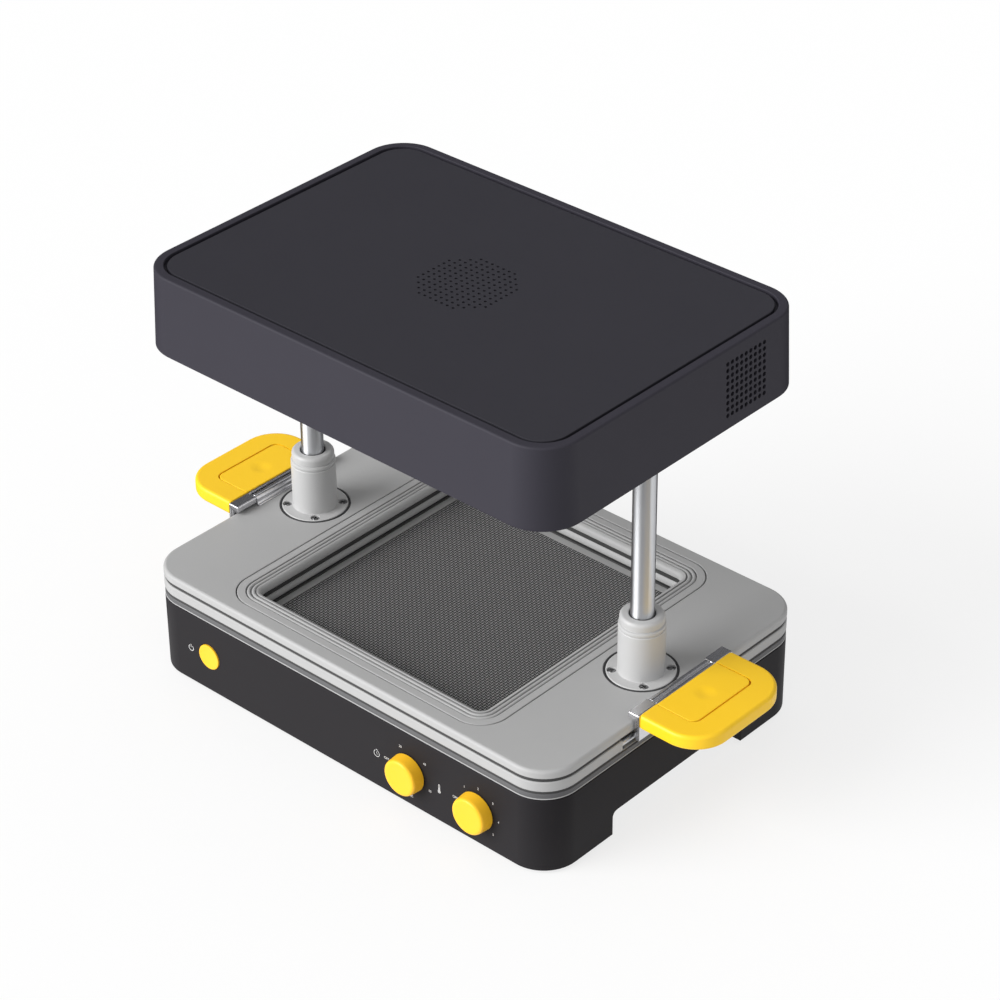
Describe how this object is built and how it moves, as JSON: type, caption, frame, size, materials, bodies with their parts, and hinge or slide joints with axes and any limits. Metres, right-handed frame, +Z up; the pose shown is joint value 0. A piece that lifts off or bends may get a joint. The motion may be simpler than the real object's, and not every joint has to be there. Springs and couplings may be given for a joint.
{
  "type": "vacuum forming machine",
  "caption": "Desktop vacuum former: dark base with perforated bed, sheet frame with flip handles sliding on steel columns, flat heater head, dials and hose socket.",
  "frame": {"origin": "middle of the footprint, on the table", "axes": "+X to the user's right across the handles, +Y from the dials to the back, +Z up"},
  "size_m": [0.468, 0.276, 0.3098],
  "materials": {
    "black_casing": "satin black moulded casing",
    "zinc_plate": "zinc plated sheet steel",
    "black_rubber": "matt black rubber",
    "zinc_screws": "zinc plated",
    "silver_paint": "fine satin silver-grey coat",
    "bed_mesh": "dark fine perforated sheet",
    "grey_plastic": "moulded",
    "black_plastic": "moulded, fine grain",
    "brass_pins": "plated contact pins",
    "green_board": "coated circuit board",
    "polished_steel": "polished",
    "cast_aluminium": "as cast and machined",
    "dark_housing": "fine matt dark grey coat",
    "dark_panel": "fine matt coat, a little darker than the housing",
    "dark_plate": "heat resistant matt coat",
    "bright_reflector": "bright rolled sheet",
    "cream_insulation": "pressed mineral board",
    "white_tubes": "glazed ceramic tube",
    "black_screws": "blackened",
    "pale_bush": "low friction bearing plastic",
    "silver_collar": "satin silver coat",
    "dark_screws": "dull plated steel",
    "bright_chrome": "bright plated sheet",
    "yellow_plastic": "satin moulded, warm yellow",
    "yellow_pad": "satin moulded, warm yellow",
    "yellow_knob": "satin moulded, yellow"
  },
  "bodies": {
    "base": {"base_shell": "black_casing", "base_plate": "zinc_plate", "rubber_feet": "black_rubber", "base_screws": "zinc_screws", "base_deck": "silver_paint", "forming_bed": "bed_mesh", "bed_gasket": "black_rubber", "vacuum_chamber": "grey_plastic", "chamber_ribs": "grey_plastic", "vacuum_pipe": "black_plastic", "inlet_body": "black_plastic", "inlet_pins": "brass_pins", "control_board": "green_board", "board_screws": "zinc_screws", "dial_encoders": "zinc_plate", "power_switch": "grey_plastic", "column_left": "polished_steel", "column_right": "polished_steel", "column_sockets": "cast_aluminium", "column_top_clamps": "cast_aluminium", "column_bolts": "zinc_screws", "heater_housing": "dark_housing", "heater_top_panel": "dark_panel", "heater_underplate": "dark_plate", "collar_wells": "zinc_plate", "heat_reflector": "bright_reflector", "heat_insulation": "cream_insulation", "heater_tubes": "white_tubes", "tube_holders": "cream_insulation", "heater_guard": "polished_steel", "overheat_sensor": "polished_steel", "head_screws": "black_screws"},
    "lower_tray": {"lower_frame": "silver_paint", "lower_seal": "black_rubber", "lower_bushes": "pale_bush", "keeper_bars": "polished_steel"},
    "upper_tray": {"upper_frame": "silver_paint", "upper_seal": "black_rubber", "ring_insert": "silver_paint", "collar_left": "silver_collar", "collar_right": "silver_collar", "collar_bushes": "pale_bush", "collar_screws": "dark_screws", "hinge_leaf_left": "bright_chrome", "hinge_leaf_right": "bright_chrome", "hinge_pins": "polished_steel"},
    "handle_left": {"handle_bracket_left": "bright_chrome", "grip_left": "yellow_plastic", "grip_pad_left": "yellow_pad", "grip_screws_left": "dark_screws"},
    "handle_right": {"handle_bracket_right": "bright_chrome", "grip_right": "yellow_plastic", "grip_pad_right": "yellow_pad", "grip_screws_right": "dark_screws"},
    "timer_dial": {"timer_knob": "yellow_knob", "timer_shaft": "polished_steel"},
    "temperature_dial": {"temperature_knob": "yellow_knob", "temperature_shaft": "polished_steel"},
    "power_key": {"power_button": "yellow_knob"}
  },
  "joints": [
    {"name": "tray_lift", "type": "slide", "parent": "base", "child": "lower_tray", "axis": [0, 0, 1], "range_m": [0, 0.14]},
    {"name": "tray_open", "type": "slide", "parent": "lower_tray", "child": "upper_tray", "axis": [0, 0, 1], "range_m": [0, 0.02]},
    {"name": "handle_left_swing", "type": "hinge", "parent": "upper_tray", "child": "handle_left", "pos_m": [-0.1786, 0, 0.0844], "axis": [0, 1, 0], "range_deg": [0, 75]},
    {"name": "handle_right_swing", "type": "hinge", "parent": "upper_tray", "child": "handle_right", "pos_m": [0.1786, 0, 0.0844], "axis": [0, -1, 0], "range_deg": [0, 75]},
    {"name": "timer_turn", "type": "hinge", "parent": "base", "child": "timer_dial", "pos_m": [0.0616, -0.133, 0.028], "axis": [0, 1, 0], "range_deg": [0, 280]},
    {"name": "temperature_turn", "type": "hinge", "parent": "base", "child": "temperature_dial", "pos_m": [0.1207, -0.133, 0.028], "axis": [0, 1, 0], "range_deg": [0, 280]},
    {"name": "power_press", "type": "slide", "parent": "base", "child": "power_key", "axis": [0, 1, 0], "range_m": [0, 0.002], "stiffness_N_per_m": 300}
  ]
}
